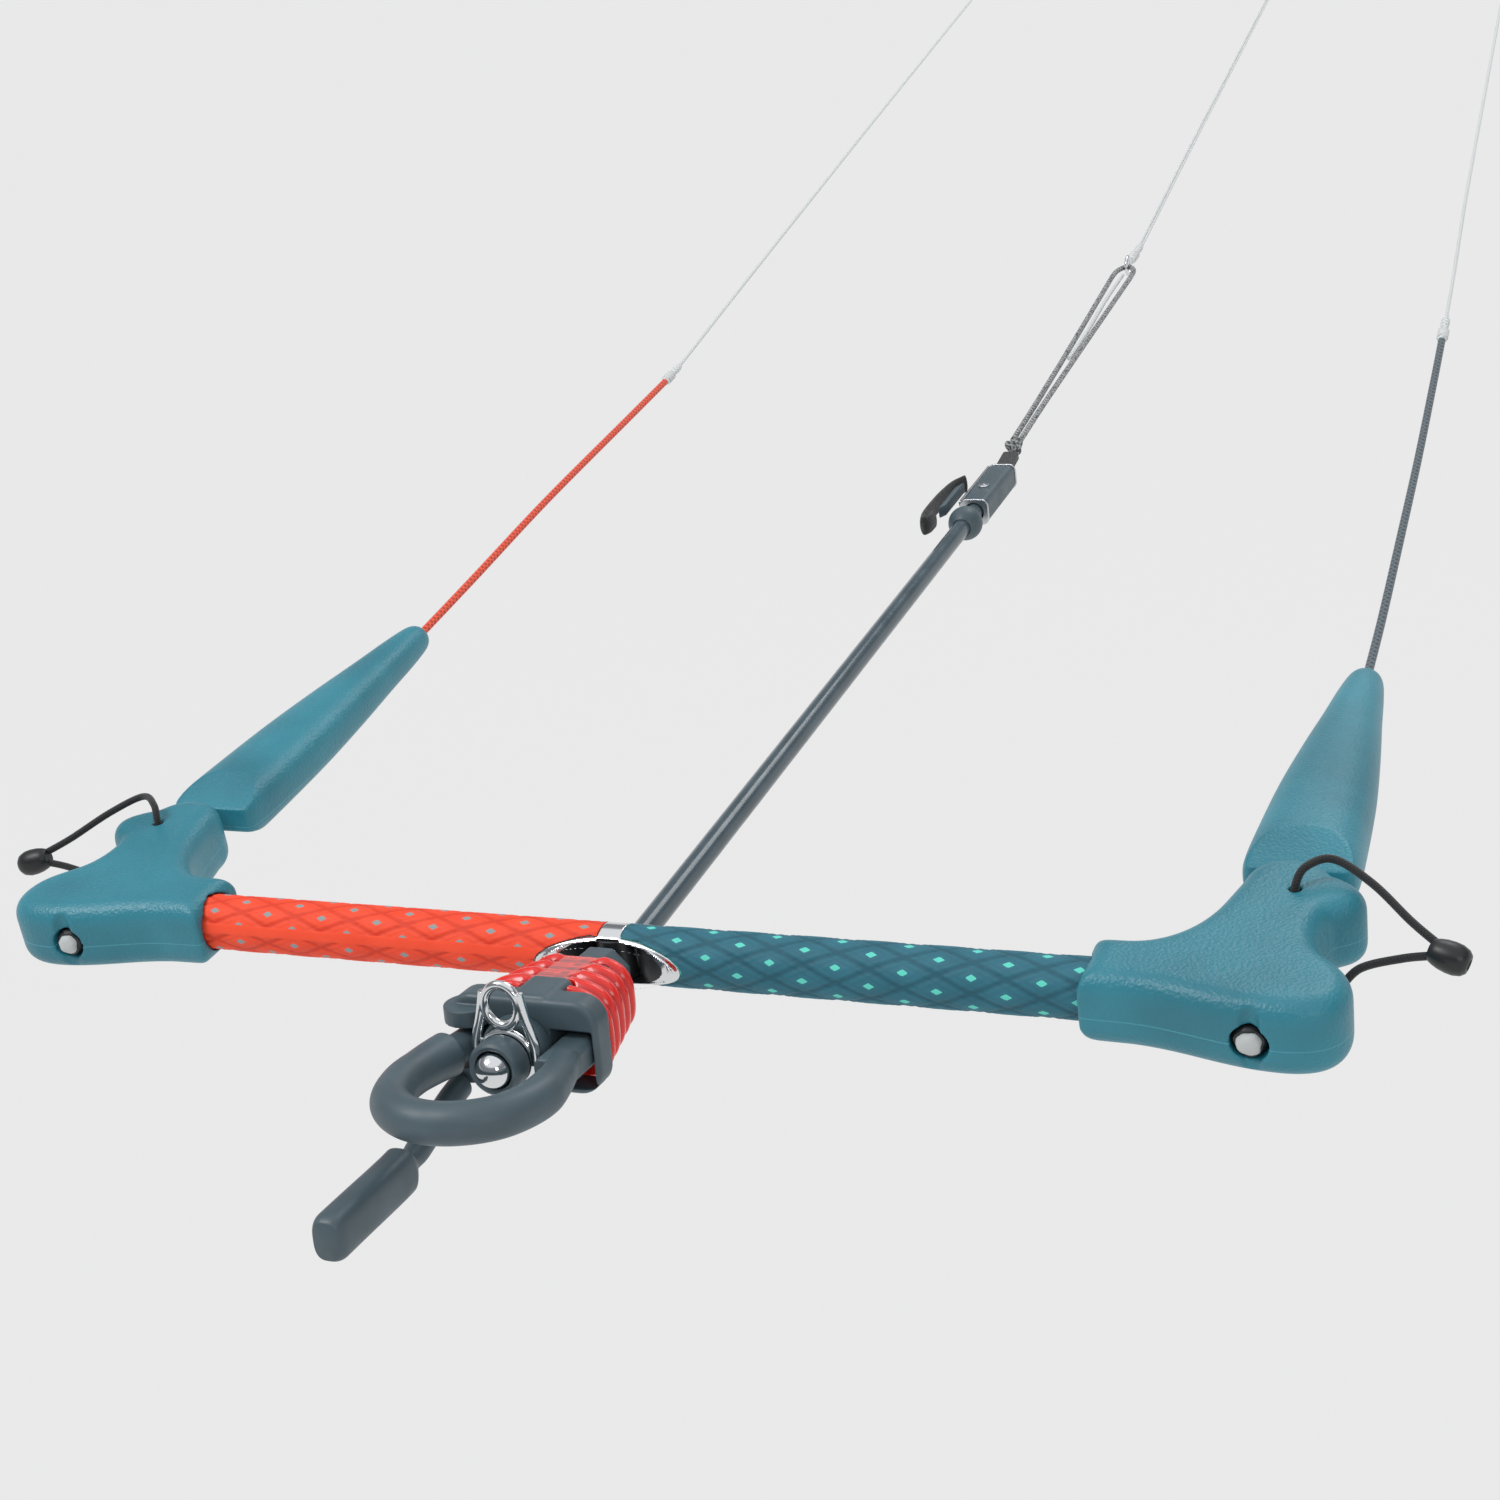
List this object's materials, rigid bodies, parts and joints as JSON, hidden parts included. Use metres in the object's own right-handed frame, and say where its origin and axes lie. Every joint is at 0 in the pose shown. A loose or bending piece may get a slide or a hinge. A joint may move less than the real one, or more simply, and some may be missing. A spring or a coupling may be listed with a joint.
{
  "type": "kite control bar",
  "caption": "Steering bar for a traction kite: foam-ended grip bar, sliding depower tube with cleat and trim loop, push-away release with hook loop, float leaders and taut lines.",
  "frame": {"origin": "middle of the bar, on its long axis, where the depower tube passes through", "axes": "+X along the bar to the teal grip, +Y along the depower tube towards the kite, +Z out of the plane of bar and lines"},
  "size_m": [0.5994, 1.7532, 0.1948],
  "materials": {
    "alloy": "drawn and anodised",
    "chrome": "polished stainless steel",
    "red_grip": "moulded soft grip with a diamond lattice",
    "teal_grip": "moulded soft grip with a diamond lattice",
    "teal_foam": "moulded closed-cell foam, fine pebbled skin",
    "white_line": "braided polyethylene",
    "red_leader": "braided sheath",
    "slate_leader": "braided sheath",
    "grey_rope": "braided, flecked",
    "black_elastic": "braided elastic cord",
    "black_webbing": "woven webbing",
    "black_plastic": "moulded, satin",
    "slate_plastic": "moulded, satin",
    "slate_gloss": "extruded polyurethane sheath, glossy",
    "red_plastic": "moulded, glossy, slightly translucent"
  },
  "bodies": {
    "bar": {"bar_tube_left": "alloy", "bar_tube_right": "alloy", "centre_insert": "chrome", "grip_left": "red_grip", "grip_right": "teal_grip", "bar_end_left": "teal_foam", "bar_end_right": "teal_foam", "line_knot_left": "white_line", "line_knot_right": "white_line", "leader_end_left": "red_leader", "leader_end_right": "slate_leader", "bungee_left": "black_elastic", "bungee_right": "black_elastic", "bungee_return_left": "black_elastic", "bungee_return_right": "black_elastic"},
    "bush": {"line_bush": "black_plastic"},
    "depower_line": {"depower_tube": "slate_gloss", "swivel_head": "slate_plastic", "swivel_stud": "alloy", "cleat_body": "slate_plastic", "cleat_plate": "chrome", "cleat_rivet": "chrome", "webbing_stub": "black_webbing", "trim_knot": "grey_rope", "trim_loop": "grey_rope"},
    "jaw": {"cleat_jaw": "alloy"},
    "stopper": {"stopper_ball": "slate_plastic"},
    "trim_pull": {"trim_handle": "black_webbing", "handle_tongue": "slate_plastic"},
    "front_lines": {"trim_splice": "white_line", "trim_ring": "chrome", "front_knot": "white_line", "front_line": "white_line", "front_line_eye": "white_line"},
    "release": {"release_body": "slate_plastic", "sleeve_spring": "alloy", "loop_pivot": "alloy", "latch_pin": "alloy", "leash_disc": "slate_plastic", "leash_collar": "slate_plastic", "leash_ball": "chrome"},
    "sleeve": {"release_sleeve": "red_plastic"},
    "hook_loop": {"chicken_loop": "slate_plastic", "loop_cuff": "slate_plastic"},
    "finger": {"finger_stem": "slate_plastic", "finger_tab": "slate_plastic"},
    "leash": {"leash_ring": "chrome"},
    "leader_line_left": {"float_left": "teal_foam", "leader_left": "red_leader", "whipping_left": "white_line", "line_left": "white_line", "line_eye_left": "white_line"},
    "leader_line_right": {"float_right": "teal_foam", "leader_right": "slate_leader", "whipping_right": "white_line", "line_right": "white_line", "line_eye_right": "white_line"},
    "ball_left": {"bungee_ball_left": "black_plastic"},
    "ball_right": {"bungee_ball_right": "black_plastic"}
  },
  "joints": [
    {"name": "steer", "type": "hinge", "parent": "bar", "child": "bush", "pos_m": [0, 0, 0], "axis": [0, 0, 1], "range_deg": [-17, 17]},
    {"name": "sheet", "type": "slide", "parent": "bush", "child": "depower_line", "axis": [0, -1, 0], "range_m": [0, 0.3]},
    {"name": "stopper_slide", "type": "slide", "parent": "depower_line", "child": "stopper", "axis": [0, -1, 0], "range_m": [0, 0.13]},
    {"name": "jaw_pivot", "type": "hinge", "parent": "depower_line", "child": "jaw", "pos_m": [-0.0062, 0.5135, -0.004], "axis": [0, 0, 1], "range_deg": [0, 8], "stiffness_Nm_per_rad": 0.02},
    {"name": "trim_pull_slide", "type": "slide", "parent": "depower_line", "child": "trim_pull", "axis": [0, -1, 0], "range_m": [0, 0.1]},
    {"name": "trim_ring_slide", "type": "slide", "parent": "depower_line", "child": "front_lines", "axis": [0, -0.9963, -0.0863], "range_m": [0, 0.05], "deforming": ["trim_loop"]},
    {"name": "release_swivel", "type": "hinge", "parent": "depower_line", "child": "release", "pos_m": [0, 0, -0.004], "axis": [0, 0.9863, -0.165], "continuous": true},
    {"name": "sleeve_push", "type": "slide", "parent": "release", "child": "sleeve", "axis": [0, 0.9863, -0.165], "range_m": [0, 0.006], "stiffness_N_per_m": 600, "deforming": ["sleeve_spring"]},
    {"name": "loop_wag", "type": "hinge", "parent": "release", "child": "hook_loop", "pos_m": [-0.0195, -0.07397, 0.00838], "axis": [1, 0, 0], "range_deg": [-4.5, 4.5]},
    {"name": "finger_bend", "type": "hinge", "parent": "release", "child": "finger", "pos_m": [-0.0215, -0.08785, -0.00309], "axis": [1, 0, 0], "range_deg": [0, 25]},
    {"name": "leash_turn", "type": "hinge", "parent": "release", "child": "leash", "pos_m": [0, 0, -0.004], "axis": [0, 0.9863, -0.165], "range_deg": [-10, 4]},
    {"name": "leader_swing_left", "type": "hinge", "parent": "bar", "child": "leader_line_left", "pos_m": [-0.237, 0.062, 0], "axis": [0, 0, 1], "range_deg": [-17, 17]},
    {"name": "leader_swing_right", "type": "hinge", "parent": "bar", "child": "leader_line_right", "pos_m": [0.237, 0.062, 0], "axis": [0, 0, 1], "range_deg": [-17, 17]},
    {"name": "bungee_stretch_left", "type": "slide", "parent": "bar", "child": "ball_left", "axis": [-1, 0, 0], "range_m": [0, 0.02], "stiffness_N_per_m": 100, "deforming": ["bungee_left"]},
    {"name": "bungee_stretch_right", "type": "slide", "parent": "bar", "child": "ball_right", "axis": [1, 0, 0], "range_m": [0, 0.02], "stiffness_N_per_m": 100, "deforming": ["bungee_right"]}
  ],
  "couplings": [
    {"joint": "leader_swing_left", "follows": "steer", "ratio": 1},
    {"joint": "leader_swing_right", "follows": "steer", "ratio": 1},
    {"joint": "trim_ring_slide", "follows": "trim_pull_slide", "ratio": 0.5}
  ]
}
